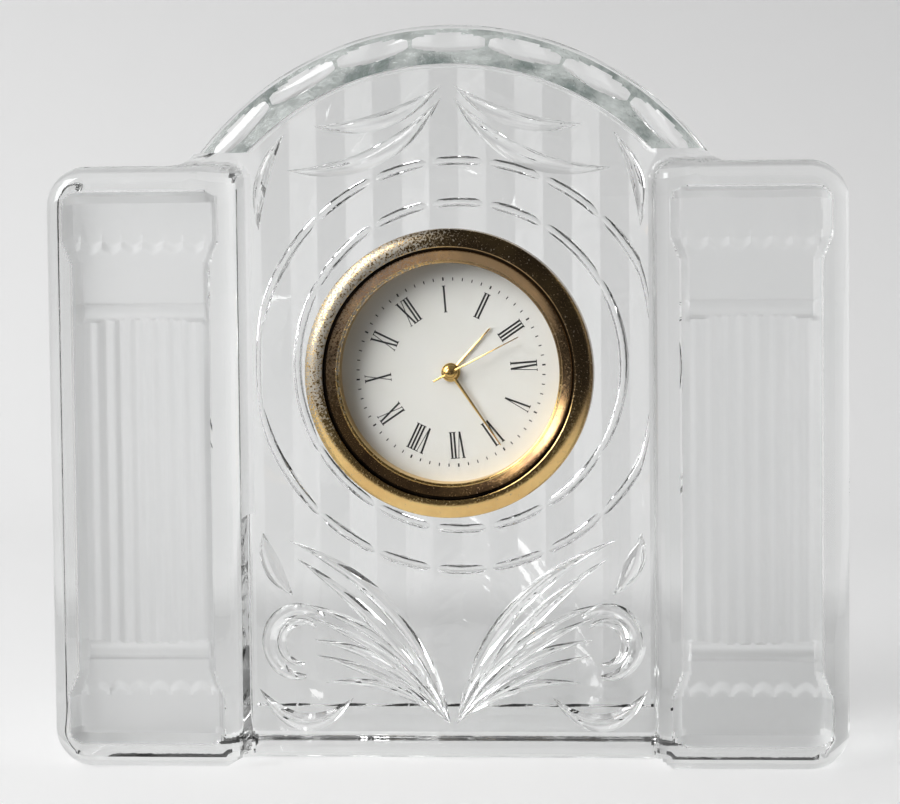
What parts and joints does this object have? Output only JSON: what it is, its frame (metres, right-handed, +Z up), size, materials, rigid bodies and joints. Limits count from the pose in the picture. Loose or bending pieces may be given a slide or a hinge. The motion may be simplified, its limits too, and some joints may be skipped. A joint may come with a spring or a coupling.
{
  "type": "desk clock",
  "caption": "Arched crystal desk clock with frosted column recesses in its pillars and a turned gold-bezel quartz insert held by friction in a blind hole.",
  "frame": {"origin": "middle of the flat base, under the middle of the bounding box", "axes": "+Z up, the dial and the pillar fronts face -Y, +X to the right seen from the front"},
  "size_m": [0.0998, 0.032, 0.0931],
  "materials": {
    "crystal": "polished clear crystal, with the column recesses frosted",
    "lens_glass": "polished",
    "gold_plate": "polished gold plate, worn",
    "gold_hands": "polished",
    "dial_paint": "matt off-white",
    "clear_nylon": "satin",
    "case_plastic": "moulded",
    "movement_plastic": "moulded",
    "wheel_plastic": "moulded",
    "steel": "turned",
    "cover_steel": "brushed",
    "soft_iron": "annealed",
    "magnet": "ground",
    "brass_strip": "stamped",
    "copper_wire": "enamelled wire",
    "board_green": "lacquered",
    "chip_black": "potted"
  },
  "bodies": {
    "block": {"crystal_block": "crystal"},
    "sleeve": {"grip_ring": "clear_nylon"},
    "case": {"case_cup": "case_plastic", "bezel": "gold_plate", "lens": "lens_glass", "lens_gasket": "clear_nylon", "reflector_ring": "gold_plate", "dial": "dial_paint", "movement_holder": "case_plastic", "main_plate": "movement_plastic", "train_bridge": "movement_plastic", "bridge_screws": "steel", "stator": "soft_iron", "coil_core": "soft_iron", "coil": "copper_wire", "circuit_board": "board_green", "timing_chip": "chip_black", "quartz_can": "steel", "battery": "steel", "battery_strap": "brass_strip"},
    "cover": {"back_cover": "cover_steel"},
    "rotor": {"rotor": "magnet"},
    "intermediate": {"intermediate_wheel": "wheel_plastic"},
    "seconds": {"seconds_wheel": "brass_strip", "second_hand": "gold_hands"},
    "third": {"third_wheel": "wheel_plastic"},
    "centre": {"centre_wheel": "brass_strip"},
    "cannon": {"cannon_pinion": "brass_strip", "minute_hand": "gold_hands"},
    "minute_work": {"minute_wheel": "wheel_plastic"},
    "hour": {"hour_wheel": "wheel_plastic", "hour_hand": "gold_hands"},
    "setting": {"setting_wheel": "steel"},
    "clutch": {"sliding_pinion": "steel"},
    "stem": {"setting_stem": "steel", "crown": "gold_plate"},
    "lever": {"setting_lever": "steel"}
  },
  "joints": [
    {"name": "insert_pull", "type": "slide", "parent": "block", "child": "sleeve", "axis": [0, -1, 0], "range_m": [0, 0.025]},
    {"name": "insert_turn", "type": "hinge", "parent": "sleeve", "child": "case", "pos_m": [0, -0.0045, 0.0492], "axis": [0, 1, 0], "continuous": true},
    {"name": "cover_pull", "type": "slide", "parent": "case", "child": "cover", "axis": [0, 1, 0], "range_m": [0, 0.003]},
    {"name": "second_hand_turn", "type": "hinge", "parent": "case", "child": "seconds", "pos_m": [0, -0.0045, 0.0492], "axis": [0, 1, 0], "continuous": true},
    {"name": "third_wheel_turn", "type": "hinge", "parent": "case", "child": "third", "pos_m": [-0.00264, -0.0045, 0.049], "axis": [0, 1, 0], "continuous": true},
    {"name": "centre_wheel_turn", "type": "hinge", "parent": "case", "child": "centre", "pos_m": [0, -0.0045, 0.0492], "axis": [0, 1, 0], "continuous": true},
    {"name": "intermediate_wheel_turn", "type": "hinge", "parent": "case", "child": "intermediate", "pos_m": [0.0025, -0.0045, 0.0485], "axis": [0, 1, 0], "continuous": true},
    {"name": "rotor_turn", "type": "hinge", "parent": "case", "child": "rotor", "pos_m": [0.00525, -0.0045, 0.04846], "axis": [0, 1, 0], "continuous": true},
    {"name": "minute_hand_turn", "type": "hinge", "parent": "case", "child": "cannon", "pos_m": [0, -0.0045, 0.0492], "axis": [0, 1, 0], "continuous": true},
    {"name": "minute_wheel_turn", "type": "hinge", "parent": "case", "child": "minute_work", "pos_m": [0.00136, -0.0045, 0.05118], "axis": [0, 1, 0], "continuous": true},
    {"name": "hour_hand_turn", "type": "hinge", "parent": "case", "child": "hour", "pos_m": [0, -0.0045, 0.0492], "axis": [0, 1, 0], "continuous": true},
    {"name": "setting_wheel_turn", "type": "hinge", "parent": "case", "child": "setting", "pos_m": [0.0038, -0.0045, 0.05179], "axis": [0, 1, 0], "continuous": true},
    {"name": "crown_turn", "type": "hinge", "parent": "case", "child": "clutch", "pos_m": [0.00743, -0.00435, 0.05427], "axis": [0.8261, 0, 0.5635], "continuous": true},
    {"name": "crown_pull", "type": "slide", "parent": "clutch", "child": "stem", "axis": [0.8261, 0, 0.5635], "range_m": [0, 0.0005]},
    {"name": "setting_lever_turn", "type": "hinge", "parent": "case", "child": "lever", "pos_m": [0.00425, -0.0045, 0.05476], "axis": [0, -1, 0], "range_deg": [0, 13.22]}
  ],
  "couplings": [
    {"joint": "third_wheel_turn", "follows": "second_hand_turn", "ratio": -0.13333},
    {"joint": "centre_wheel_turn", "follows": "second_hand_turn", "ratio": 0.016667},
    {"joint": "intermediate_wheel_turn", "follows": "second_hand_turn", "ratio": -5},
    {"joint": "rotor_turn", "follows": "second_hand_turn", "ratio": 30},
    {"joint": "minute_wheel_turn", "follows": "minute_hand_turn", "ratio": -0.33333},
    {"joint": "hour_hand_turn", "follows": "minute_hand_turn", "ratio": 0.083333},
    {"joint": "setting_wheel_turn", "follows": "minute_hand_turn", "ratio": 0.83333},
    {"joint": "crown_turn", "follows": "minute_hand_turn", "ratio": 0.83333},
    {"joint": "setting_lever_turn", "follows": "crown_pull", "rad_per_m": 454.55}
  ]
}
